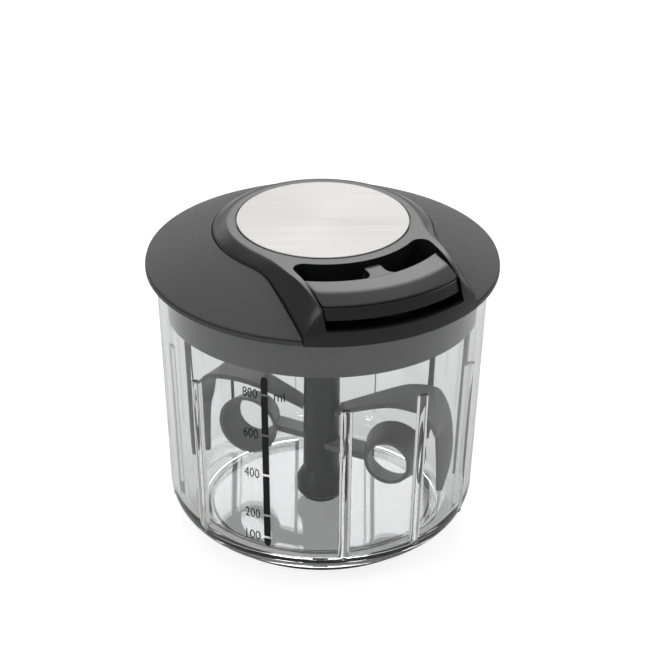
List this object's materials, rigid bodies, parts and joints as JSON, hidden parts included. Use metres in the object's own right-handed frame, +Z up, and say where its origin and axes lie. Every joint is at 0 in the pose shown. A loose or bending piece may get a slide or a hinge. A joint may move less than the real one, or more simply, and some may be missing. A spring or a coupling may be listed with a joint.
{
  "type": "food chopper",
  "caption": "Pull-cord food chopper: clear jar with volume marks, black lid with a recessed pull handle, and a central shaft carrying curved wings and ring-shaped scoops.",
  "frame": {"origin": "on the axis of the jar, at the bottom of the anti-slip ring that the chopper stands on", "axes": "+Z up along the jar's axis; -Y toward the front of the jar, as pictured; +X to the picture's right. The handle is pulled along (0.4415, -0.8973, 0)."},
  "size_m": [0.137, 0.1371, 0.1297],
  "materials": {
    "clear_plastic": "clear, polished",
    "black_rubber": "matte",
    "satin_steel": "brushed",
    "dark_plastic": "satin",
    "grey_plastic": "satin",
    "collar_grey": "satin",
    "cover_black": "fine grained",
    "housing_black": "satin",
    "white_plastic": "satin",
    "silicone": "matte",
    "spring_steel": "plain",
    "cord_black": "braided"
  },
  "bodies": {
    "jar": {"jar": "clear_plastic", "anti_slip_ring": "black_rubber", "pivot_pin": "satin_steel"},
    "mixer": {"mixer_shaft": "dark_plastic", "wing_right": "grey_plastic", "wing_left": "grey_plastic", "scoop_right": "grey_plastic", "scoop_left": "grey_plastic"},
    "lid": {"lid_base": "collar_grey", "seal_ring": "silicone", "lid_cover": "cover_black", "top_housing": "housing_black", "steel_disc": "satin_steel", "spool_axle": "satin_steel", "spool_clip": "spring_steel", "axle_screw": "satin_steel", "cord_guide": "satin_steel", "coupling_bush": "white_plastic", "recoil_spring": "spring_steel", "housing_screw_1": "satin_steel", "housing_screw_2": "satin_steel", "housing_screw_3": "satin_steel", "housing_screw_4": "satin_steel", "pull_cord": "cord_black"},
    "coupling": {"drive_coupling": "white_plastic"},
    "spool": {"cord_spool": "white_plastic", "cord_winding": "cord_black", "clutch_plate": "white_plastic"},
    "handle": {"handle_upper_shell": "housing_black", "handle_lower_shell": "housing_black", "handle_screw_left": "satin_steel", "handle_screw_right": "satin_steel", "cord_knot": "cord_black"}
  },
  "joints": [
    {"name": "lid_lift", "type": "slide", "parent": "jar", "child": "lid", "axis": [0, 0, 1], "range_m": [0, 0.06]},
    {"name": "handle_pull", "type": "slide", "parent": "lid", "child": "handle", "axis": [0.4415, -0.8973, 0], "range_m": [0, 0.35], "stiffness_N_per_m": 12, "springref_m": -0.05},
    {"name": "spool_spin", "type": "hinge", "parent": "lid", "child": "spool", "pos_m": [0, 0, 0.118], "axis": [0, 0, 1], "range_deg": [0, 1260]},
    {"name": "coupling_spin", "type": "hinge", "parent": "lid", "child": "coupling", "pos_m": [0, 0, 0.1], "axis": [0, 0, 1], "range_deg": [0, 1260]},
    {"name": "mixer_spin", "type": "hinge", "parent": "jar", "child": "mixer", "pos_m": [0, 0, 0.01], "axis": [0, 0, 1], "range_deg": [0, 1260]}
  ],
  "couplings": [
    {"joint": "spool_spin", "follows": "handle_pull", "rad_per_m": 62.5},
    {"joint": "coupling_spin", "follows": "handle_pull", "rad_per_m": 62.5},
    {"joint": "mixer_spin", "follows": "handle_pull", "rad_per_m": 62.5}
  ]
}
